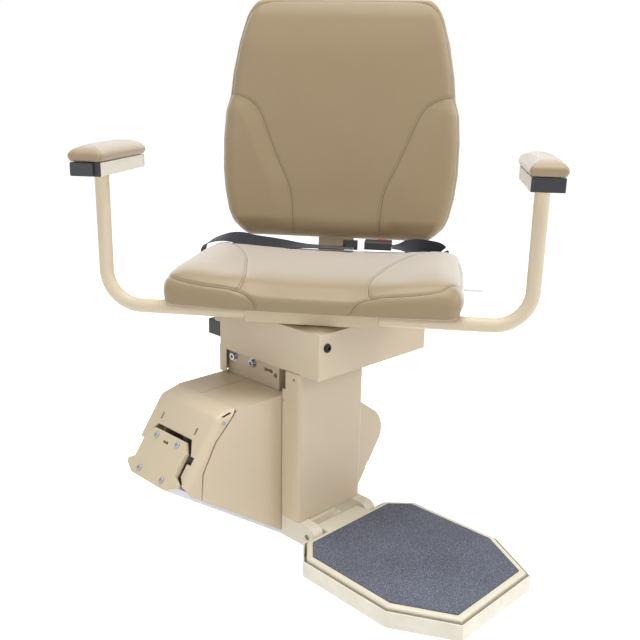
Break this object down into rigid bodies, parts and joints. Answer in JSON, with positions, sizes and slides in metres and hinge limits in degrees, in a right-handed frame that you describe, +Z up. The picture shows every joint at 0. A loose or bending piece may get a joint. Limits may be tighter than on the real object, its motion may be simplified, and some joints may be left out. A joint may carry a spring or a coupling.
{
  "type": "stairlift chair",
  "caption": "Stairlift chair on a short inclined rail section: swivelling padded seat, lifting arms, lap belt, folding footrest and a covered rack-and-pinion carriage.",
  "frame": {"origin": "middle of the rail section's flat underside, where a stair bracket holds it", "axes": "+X along the rail's horizontal run, downstairs; +Y towards the wall; +Z up. The rail falls 35 degrees towards +X."},
  "size_m": [0.7462, 0.8097, 1.1093],
  "materials": {
    "cover_beige": "moulded, fine texture",
    "frame_beige": "powder coated",
    "arm_cream": "powder coated",
    "vinyl_tan": "upholstery vinyl, soft grain",
    "vinyl_light": "upholstery vinyl, soft grain",
    "pad_tan": "soft moulded skin",
    "foot_cream": "moulded, smooth",
    "grip": "speckled safety flooring",
    "rail_alloy": "natural anodised",
    "plate_beige": "powder coated",
    "steel": "machined",
    "zinc": "bright zinc",
    "black_screw": "black oxide",
    "black_plastic": "moulded",
    "roller_nylon": "nylon",
    "motor_black": "satin",
    "gearbox_alloy": "cast",
    "battery_grey": "moulded case",
    "control_green": "moulded case",
    "webbing": "woven polyester",
    "red_plastic": "moulded",
    "lever_white": "powder coated",
    "board_ply": "plywood"
  },
  "bodies": {
    "rail": {"rail_section": "rail_alloy", "gear_rack": "steel", "rail_end_caps": "plate_beige", "rail_end_screws": "zinc"},
    "carriage": {"chassis": "steel", "roller_axles": "steel", "gearbox": "gearbox_alloy", "drive_motor": "motor_black", "batteries": "battery_grey", "control_box": "control_green", "front_cover": "cover_beige", "rear_cover": "cover_beige", "levelling_bracket": "frame_beige", "levelling_bolts": "zinc", "seat_support": "steel", "column_cover": "frame_beige", "swivel_housing": "frame_beige", "housing_screw": "black_screw", "swivel_bearing": "black_plastic", "interlock_switch": "black_plastic", "footrest_bracket": "frame_beige", "footrest_hinge_pin": "steel"},
    "upper_load_roller": {"upper_load_roller": "roller_nylon"},
    "lower_load_roller": {"lower_load_roller": "roller_nylon"},
    "upper_guide_rollers": {"upper_guide_rollers": "roller_nylon"},
    "lower_guide_rollers": {"lower_guide_rollers": "roller_nylon"},
    "drive_pinion": {"drive_pinion": "steel"},
    "upper_hood": {"upper_hood": "cover_beige", "upper_hood_screws": "zinc"},
    "lower_hood": {"lower_hood": "cover_beige", "lower_hood_screws": "zinc"},
    "footrest": {"footrest_platform": "foot_cream", "footrest_mat": "grip", "pan_studs": "zinc"},
    "footrest_pan": {"footrest_pan": "foot_cream"},
    "seat": {"seat_base": "frame_beige", "swivel_spindle": "steel", "lever_pivot": "steel", "seat_hinge_pins": "steel", "back_bracket": "frame_beige", "back_shell": "cover_beige", "back_cushion": "vinyl_tan"},
    "swivel_lever": {"swivel_lever": "lever_white"},
    "left_arm": {"left_arm_tube": "arm_cream", "left_armrest_channel": "arm_cream", "left_armrest_caps": "black_plastic", "left_armrest_pad": "pad_tan"},
    "direction_rocker": {"direction_rocker": "black_plastic"},
    "right_arm": {"right_arm_tube": "arm_cream", "right_armrest_channel": "arm_cream", "right_armrest_caps": "black_plastic", "right_armrest_pad": "pad_tan"},
    "seat_pad": {"seat_board": "board_ply", "seat_cushion": "vinyl_light", "left_belt_strap": "webbing", "right_belt_strap": "webbing", "belt_buckle": "black_plastic", "belt_tongue": "steel"},
    "buckle_button": {"buckle_button": "red_plastic"}
  },
  "joints": [
    {"name": "carriage_travel", "type": "slide", "parent": "rail", "child": "carriage", "axis": [0.8192, 0, -0.5736], "range_m": [-0.04, 0.04]},
    {"name": "upper_load_roller_spin", "type": "hinge", "parent": "carriage", "child": "upper_load_roller", "pos_m": [-0.07422, 0, 0.18168], "axis": [0, 1, 0], "range_deg": [-122, 122]},
    {"name": "lower_load_roller_spin", "type": "hinge", "parent": "carriage", "child": "lower_load_roller", "pos_m": [0.1961, 0, -0.0076], "axis": [0, 1, 0], "range_deg": [-122, 122]},
    {"name": "upper_guide_rollers_spin", "type": "hinge", "parent": "carriage", "child": "upper_guide_rollers", "pos_m": [-0.1105, 0, 0.12986], "axis": [0, 1, 0], "range_deg": [-138, 138]},
    {"name": "lower_guide_rollers_spin", "type": "hinge", "parent": "carriage", "child": "lower_guide_rollers", "pos_m": [0.15982, 0, -0.05942], "axis": [0, 1, 0], "range_deg": [-138, 138]},
    {"name": "pinion_spin", "type": "hinge", "parent": "carriage", "child": "drive_pinion", "pos_m": [0.06068, 0, 0.08667], "axis": [0, 1, 0], "range_deg": [-110, 110]},
    {"name": "upper_hood_give", "type": "slide", "parent": "carriage", "child": "upper_hood", "axis": [0.8192, 0, -0.5736], "range_m": [0, 0.0025], "stiffness_N_per_m": 3000, "springref_m": -0.005},
    {"name": "lower_hood_give", "type": "slide", "parent": "carriage", "child": "lower_hood", "axis": [-0.8192, 0, 0.5736], "range_m": [0, 0.0025], "stiffness_N_per_m": 3000, "springref_m": -0.004},
    {"name": "footrest_fold", "type": "hinge", "parent": "carriage", "child": "footrest", "pos_m": [0.13, -0.161, -0.005], "axis": [-1, 0, 0], "range_deg": [0, 80]},
    {"name": "footrest_pan_give", "type": "slide", "parent": "footrest", "child": "footrest_pan", "axis": [0, 0, 1], "range_m": [0, 0.005], "stiffness_N_per_m": 1500, "springref_m": -0.02},
    {"name": "seat_swivel", "type": "hinge", "parent": "carriage", "child": "seat", "pos_m": [0.197, -0.043, 0.4], "axis": [0, 0, 1], "range_deg": [-21.5, 53.5]},
    {"name": "swivel_lever_pull", "type": "hinge", "parent": "seat", "child": "swivel_lever", "pos_m": [0.32312, -0.05541, 0.4195], "axis": [0, 0, -1], "range_deg": [0, 10], "stiffness_Nm_per_rad": 4, "springref_deg": -5.73},
    {"name": "left_arm_lift", "type": "hinge", "parent": "seat", "child": "left_arm", "pos_m": [-0.04013, 0.03033, 0.4133], "axis": [-0.5948, 0.8039, 0], "range_deg": [0, 95]},
    {"name": "right_arm_lift", "type": "hinge", "parent": "seat", "child": "right_arm", "pos_m": [0.1978, -0.29121, 0.4133], "axis": [-0.5948, 0.8039, 0], "range_deg": [0, 95]},
    {"name": "direction_rocker_tilt", "type": "hinge", "parent": "left_arm", "child": "direction_rocker", "pos_m": [-0.20289, 0.13848, 0.6629], "axis": [0, 0, 1], "range_deg": [-4, 4], "stiffness_Nm_per_rad": 0.3},
    {"name": "seat_pad_lift", "type": "hinge", "parent": "seat", "child": "seat_pad", "pos_m": [0.30633, 0.0379, 0.437], "axis": [-0.5948, 0.8039, 0], "range_deg": [0, 60]},
    {"name": "buckle_press", "type": "slide", "parent": "seat_pad", "child": "buckle_button", "axis": [0, 0, -1], "range_m": [0, 0.003], "stiffness_N_per_m": 400, "springref_m": -0.002}
  ],
  "couplings": [
    {"joint": "upper_load_roller_spin", "follows": "carriage_travel", "rad_per_m": 52.632},
    {"joint": "lower_load_roller_spin", "follows": "carriage_travel", "rad_per_m": 52.632},
    {"joint": "upper_guide_rollers_spin", "follows": "carriage_travel", "rad_per_m": 59.702},
    {"joint": "lower_guide_rollers_spin", "follows": "carriage_travel", "rad_per_m": 59.702},
    {"joint": "pinion_spin", "follows": "carriage_travel", "rad_per_m": 47.619}
  ]
}
